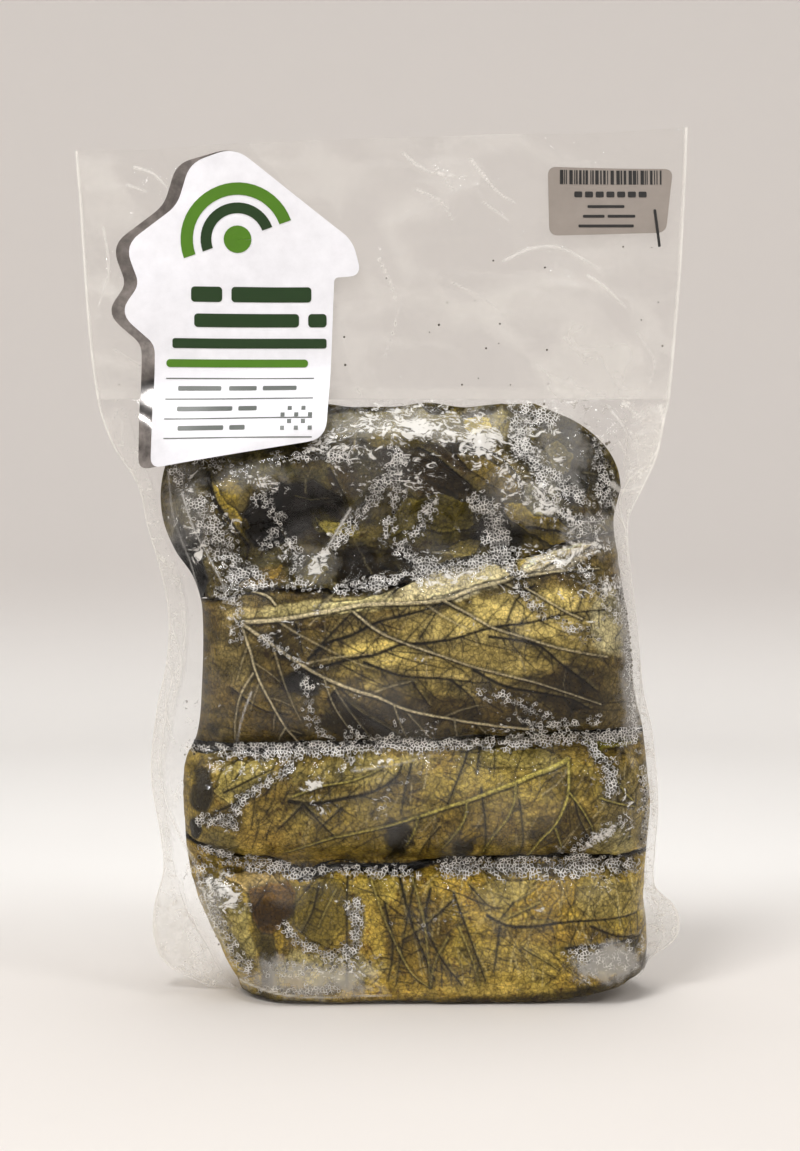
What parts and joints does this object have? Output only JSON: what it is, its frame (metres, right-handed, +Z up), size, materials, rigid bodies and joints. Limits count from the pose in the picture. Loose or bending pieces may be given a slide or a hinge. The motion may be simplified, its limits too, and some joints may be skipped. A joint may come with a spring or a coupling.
{
  "type": "vacuum bag of rolled vine leaves",
  "caption": "Clear vacuum bag standing on its base, filled with stacked rolls of vine leaves for dolma, with an empty flat header above the heat seal and labels on it.",
  "frame": {"origin": "middle of the overall box, on the plane that the bag stands on", "axes": "+Z up along the bag's length, -Y towards the labelled front, +X to the right seen from the front"},
  "size_m": [0.2, 0.0542, 0.283],
  "materials": {
    "leaves_in_film": "olive brined leaves under clear, glossy, slightly wrinkled film",
    "label_print": "glossy white coated foil label with green print",
    "sticker_print": "pale grey satin thermal label with black bars"
  },
  "bodies": {
    "root": {"sealed_bag": "leaves_in_film", "gable_label": "label_print", "code_sticker": "sticker_print"}
  },
  "joints": []
}
